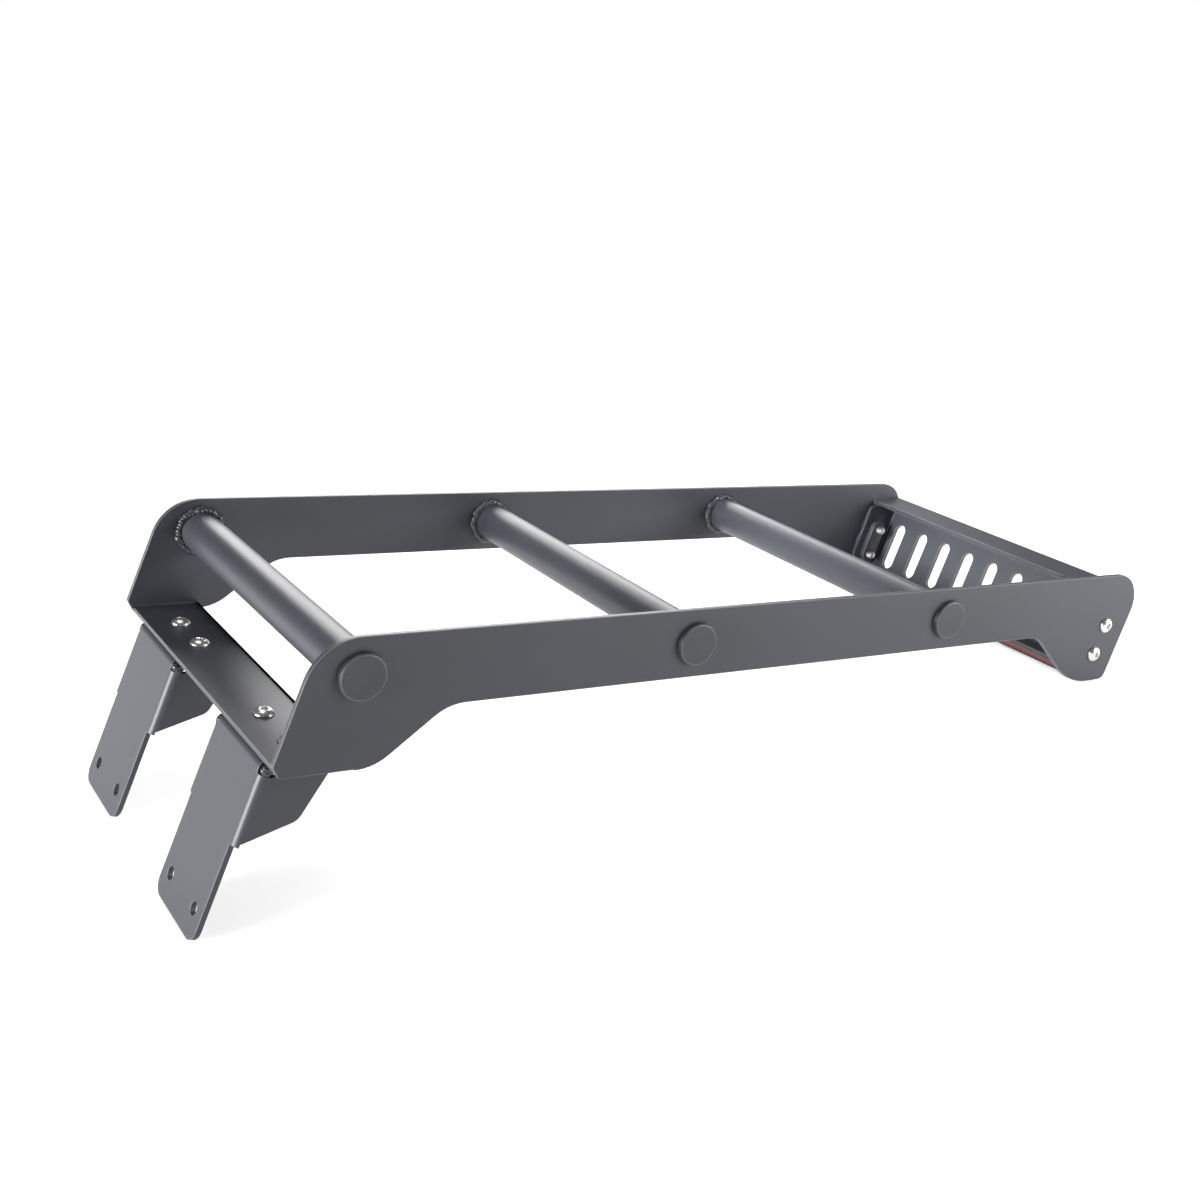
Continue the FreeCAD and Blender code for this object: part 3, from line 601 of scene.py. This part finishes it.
# welds that close the bracket corners between the top bend and the gussets
corners = {"ring": 1.7, "count": 7, "size": 2.9, "seed": 33, "drift": 0.3,
           "x": 12.5, "z": -92.6, "bracketY": 85.5, "out": 39.8}
cornerSeats = []
for side in (-1, 1):
    for end in (-1, 1):
        spot = place(corners["x"], side * corners["bracketY"] + end * corners["out"], corners["z"])
        cornerSeats.append((spot, aim(0, end, 0)))
layBeads("corner_welds", beadMaker, cornerSeats, corners)
print("weld beads laid")


# floor, light and camera

def whiteFloor(level):
    mat, nodes, links, shader, where = startMaterial("paleFloor")
    speck = noiseNode(nodes, links, where, 3, 2)
    links.new(rampNode(nodes, links, speck, [(0.3, (0.86, 0.86, 0.86)), (0.7, (0.88, 0.88, 0.88))]),
              shader.inputs["Base Color"])
    shader.inputs["Roughness"].default_value = 0.9
    shader.inputs["Specular IOR Level"].default_value = 0.0
    path = nodes.new("ShaderNodeLightPath")
    seen = mathNode(nodes, links, "MAXIMUM", path.outputs["Is Camera Ray"], path.outputs["Is Glossy Ray"])
    seen = mathNode(nodes, links, "MAXIMUM", seen, path.outputs["Is Transmission Ray"])
    far = nodes.new("ShaderNodeVectorMath")
    far.operation = "LENGTH"
    links.new(where, far.inputs[0])
    # whiter with distance, so the shadow stays under the ladder
    reach = rangeNode(nodes, links, far.outputs["Value"], level["near"], level["far"], level["start"], level["end"])
    glow = nodes.new("ShaderNodeEmission")
    glow.inputs["Color"].default_value = (1, 1, 1, 1)
    links.new(mathNode(nodes, links, "MULTIPLY", seen, reach), glow.inputs["Strength"])
    both = nodes.new("ShaderNodeAddShader")
    links.new(shader.outputs[0], both.inputs[0])
    links.new(glow.outputs[0], both.inputs[1])
    links.new(both.outputs[0], nodes["Material Output"].inputs["Surface"])
    return mat


# metres, with the floor's glow near the ladder and far from it
ground = {"half": 25.0, "below": 0.0006, "start": 0.5, "end": 1.6, "near": 0.54, "far": 1.1}
half = ground["half"]
floorMesh = bpy.data.meshes.new("paleFloor")
floorMesh.from_pydata([(-half, -half, 0), (half, -half, 0), (half, half, 0), (-half, half, 0)], [], [(0, 1, 2, 3)])
floorMesh.materials.append(whiteFloor(ground))
floor = bpy.data.objects.new("paleFloor", floorMesh)
floor.location.z = -ground["below"]
scene.collection.objects.link(floor)


def studioWorld(level):
    world = bpy.data.worlds.new("studio")
    world.use_nodes = True
    nodes, links = world.node_tree.nodes, world.node_tree.links
    back = nodes["Background"]
    back.inputs["Color"].default_value = (1, 1, 1, 1)
    coords = nodes.new("ShaderNodeTexCoord")
    split = nodes.new("ShaderNodeSeparateXYZ")
    links.new(coords.outputs["Generated"], split.inputs["Vector"])
    height = split.outputs["Z"]
    tall = rangeNode(nodes, links, height, level["low"], level["high"], level["from"], level["to"])
    path = nodes.new("ShaderNodeLightPath")
    mirror = mathNode(nodes, links, "MAXIMUM", path.outputs["Is Glossy Ray"], path.outputs["Is Transmission Ray"])
    # screws mirror the white backdrop that stands just above the floor
    band = rangeNode(nodes, links, height, 1.0, 0.0, level["bandLow"], level["bandHigh"])
    low = mathNode(nodes, links, "MULTIPLY", mirror, band)
    white = mathNode(nodes, links, "MAXIMUM", path.outputs["Is Camera Ray"], low)
    mix = nodes.new("ShaderNodeMix")
    links.new(white, mix.inputs["Factor"])
    links.new(tall, mix.inputs["A"])
    mix.inputs["B"].default_value = 1.0
    links.new(mix.outputs["Result"], back.inputs["Strength"])
    scene.world = world


def softLamp(name, lampSet):
    lamp = bpy.data.lights.new(name, "AREA")
    lamp.shape = "RECTANGLE"
    lamp.size, lamp.size_y = lampSet["size"]
    lamp.energy = lampSet["power"]
    lamp.spread = math.radians(lampSet.get("spreadDeg", 180))
    spot, target = Vector(lampSet["spot"]), Vector(lampSet["target"])
    obj = bpy.data.objects.new(name, lamp)
    obj.location = spot
    obj.rotation_mode = "QUATERNION"
    obj.rotation_quaternion = (target - spot).to_track_quat("-Z", "Y")
    scene.collection.objects.link(obj)


studioWorld({"low": 0.08, "high": 0.17, "from": -0.1, "to": 0.9, "bandLow": 0.08, "bandHigh": 0.14})
lamps = {"headSideLamp": {"spot": (-3.4, 0.1, 0.5), "target": (0.1, 0, 0.06), "size": (1.8, 0.7), "power": 165},
         "footSideLamp": {"spot": (1.25, -1.1, 0.5), "target": (0.35, -0.1, 0.1), "size": (0.9, 0.7), "power": 24},
         "backLamp": {"spot": (0.9, 2.1, 1.2), "target": (-0.05, 0, 0.1), "size": (1.9, 1.3), "power": 58},
         "overheadLamp": {"spot": (-0.3, 0.3, 1.6), "target": (-0.1, 0, 0.1), "size": (0.5, 0.5), "power": 6},
         "panelLamp": {"spot": (-0.75, 0.1, 0.55), "target": (0.41, 0.06, 0.12), "size": (0.2, 0.15), "power": 0.6,
                       "spreadDeg": 26}}  # a narrow light into the slotted panel
for name, lampSet in lamps.items():
    softLamp(name, lampSet)

# camera in drawing axes, millimetres
shot = {"spot": (-305.41, -894.57, 303.45), "right": (0.81956, -0.55564, 0.13996),
        "up": (0.0291, 0.2843, 0.9583), "forward": (0.57225, 0.78131, -0.24916),
        "lens": 43.83, "sensor": 36.0, "shift": (-0.02955, -0.06677), "clip": 0.05}
camData = bpy.data.cameras.new("ladderCamera")
camData.lens = shot["lens"]
camData.sensor_width = shot["sensor"]
camData.shift_x, camData.shift_y = shot["shift"]
camData.clip_start = shot["clip"]
camera = bpy.data.objects.new("ladderCamera", camData)
axes = Matrix([aim(*shot["right"]), aim(*shot["up"]), -aim(*shot["forward"])]).transposed()
camera.matrix_world = Matrix.Translation(place(*shot["spot"])) @ axes.to_4x4()
scene.collection.objects.link(camera)
scene.camera = camera
scene.view_settings.view_transform = "Standard"
print("floor, light and camera set")
